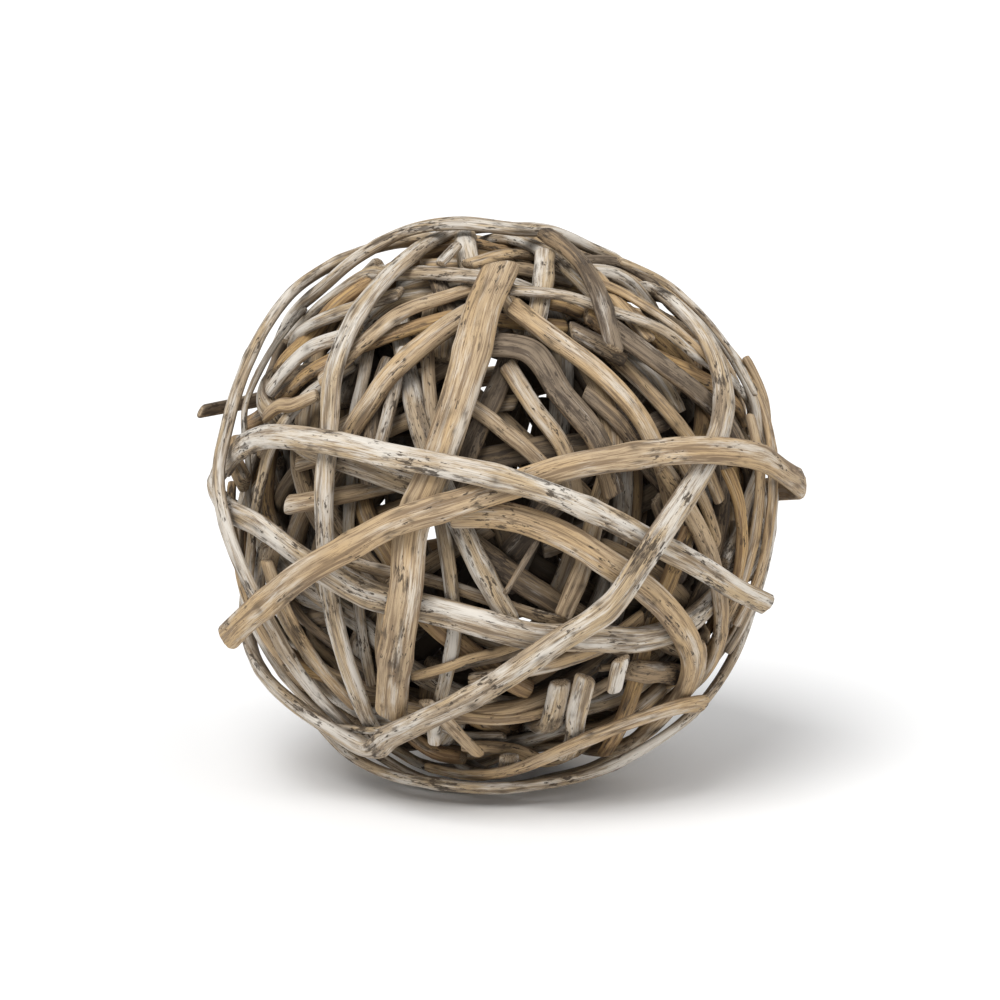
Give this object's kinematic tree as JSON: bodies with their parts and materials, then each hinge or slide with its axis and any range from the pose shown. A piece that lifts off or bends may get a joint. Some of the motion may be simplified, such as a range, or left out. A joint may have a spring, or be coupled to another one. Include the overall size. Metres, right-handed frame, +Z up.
{
  "type": "woven willow ball",
  "caption": "Open ball of split willow sticks wound over and under each other round an empty middle, a loose ornament for a bowl, tray or shelf.",
  "frame": {"origin": "on the surface that the ball rests on, below the middle of its outline", "axes": "+Z up, -Y the front, +X to the right when seen from the front, along the ball's widest way"},
  "size_m": [0.1228, 0.1148, 0.1145],
  "materials": {
    "washed_willow": "weathered split willow with a thin grey-white wash, matt",
    "tan_willow": "weathered split willow, tan under a worn wash, matt",
    "golden_willow": "golden-brown willow with little wash, matt",
    "dark_willow": "dark grey-brown stained willow, matt"
  },
  "bodies": {
    "root": {"upper_sash": "washed_willow", "long_sash": "tan_willow", "corner_sash": "washed_willow", "thick_stave": "tan_willow", "left_stave": "washed_willow", "crown_rod": "washed_willow", "left_hoop": "washed_willow", "top_left_rod": "washed_willow", "bottom_hoop": "washed_willow", "lower_brace": "tan_willow", "crown_strand": "dark_willow", "folded_stub": "dark_willow", "shoulder_rod": "tan_willow", "left_strut": "washed_willow", "belly_rod": "washed_willow", "right_bow": "tan_willow", "knotty_rod": "dark_willow", "right_slant": "tan_willow", "short_slant": "tan_willow", "thin_strand": "washed_willow", "knotty_slat": "dark_willow", "brown_slat": "golden_willow", "crown_post": "tan_willow", "limb_strand": "tan_willow", "right_hoop": "tan_willow", "right_inner_hoop": "tan_willow", "bottom_stub": "washed_willow", "right_stay": "golden_willow", "dark_bow": "dark_willow", "inner_slant": "tan_willow", "nub_rod": "tan_willow", "blunt_bar": "dark_willow", "left_bar": "tan_willow", "upper_band": "washed_willow", "deep_bar": "dark_willow", "thin_bar": "tan_willow", "kinked_stay": "washed_willow", "left_stay": "washed_willow", "left_band": "washed_willow", "golden_slat": "golden_willow", "inner_post": "washed_willow", "inner_stay": "tan_willow", "slant_bar": "tan_willow", "top_bar": "tan_willow", "top_strand": "tan_willow", "pale_stub": "washed_willow", "side_bow": "tan_willow", "left_limb_rod": "washed_willow", "left_tip": "dark_willow", "low_bar": "tan_willow", "back_slant_right": "tan_willow", "back_slant_left": "washed_willow", "back_meridian": "washed_willow", "back_left_hoop": "tan_willow", "back_right_hoop": "tan_willow", "low_back_band": "washed_willow", "high_back_band": "tan_willow", "middle_back_band": "tan_willow"}
  },
  "joints": []
}
